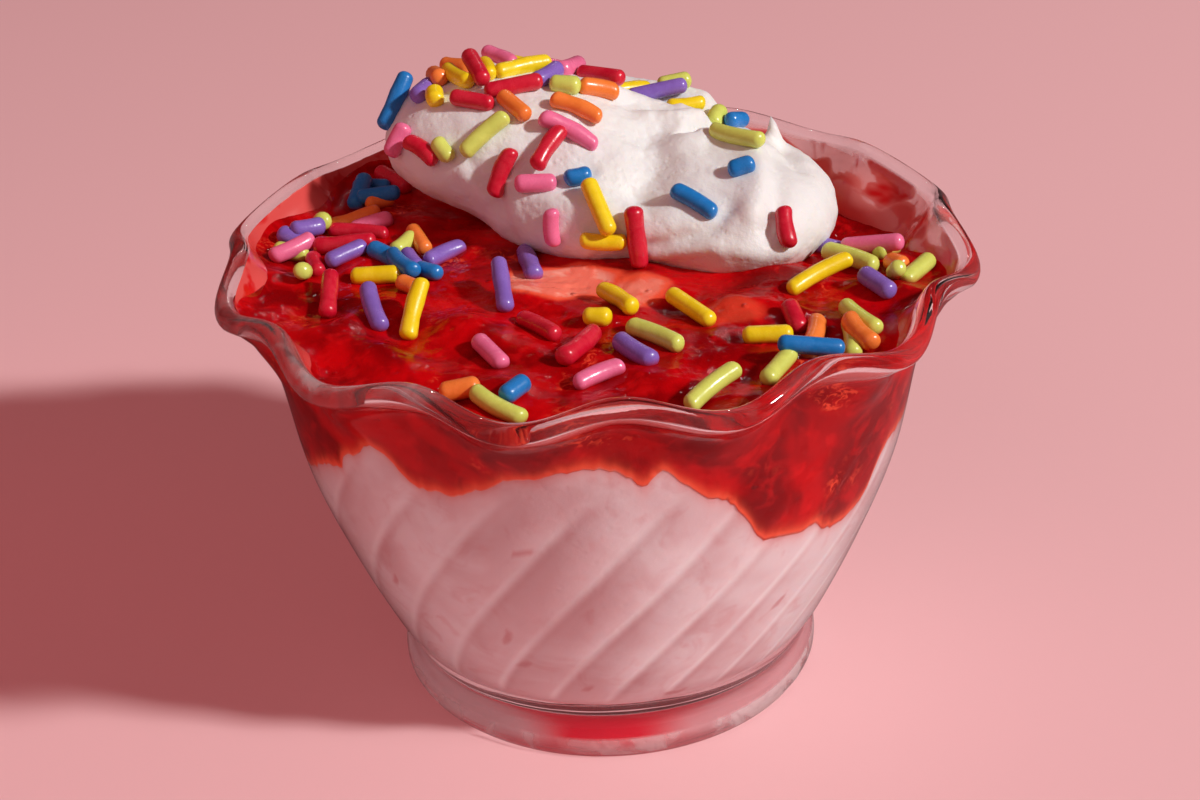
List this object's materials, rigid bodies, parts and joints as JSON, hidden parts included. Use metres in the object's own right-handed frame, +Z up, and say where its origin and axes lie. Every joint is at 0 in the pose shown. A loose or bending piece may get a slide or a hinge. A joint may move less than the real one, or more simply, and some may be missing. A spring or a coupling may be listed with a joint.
{
  "type": "ice cream sundae",
  "caption": "Strawberry ice cream sundae in a small wavy-rimmed glass dish, with strawberry sauce, whipped cream and sugar sprinkles.",
  "frame": {"origin": "centre of the glass foot's underside, on the surface that the dish stands on", "axes": "+Z up along the dish's axis, -Y towards the side that the picture shows, +X to the right as seen from there"},
  "size_m": [0.0788, 0.0788, 0.065],
  "materials": {
    "clear_glass": "clear pressed glass, polished",
    "strawberry_ice_cream": "soft frozen cream, pale pink",
    "strawberry_sauce": "thick wet deep red sauce",
    "whipped_cream": "soft satin white cream"
  },
  "bodies": {
    "root": {"glass_dish": "clear_glass", "ice_cream": "strawberry_ice_cream", "strawberry_sauce": "strawberry_sauce", "whipped_cream": "whipped_cream"}
  },
  "joints": []
}
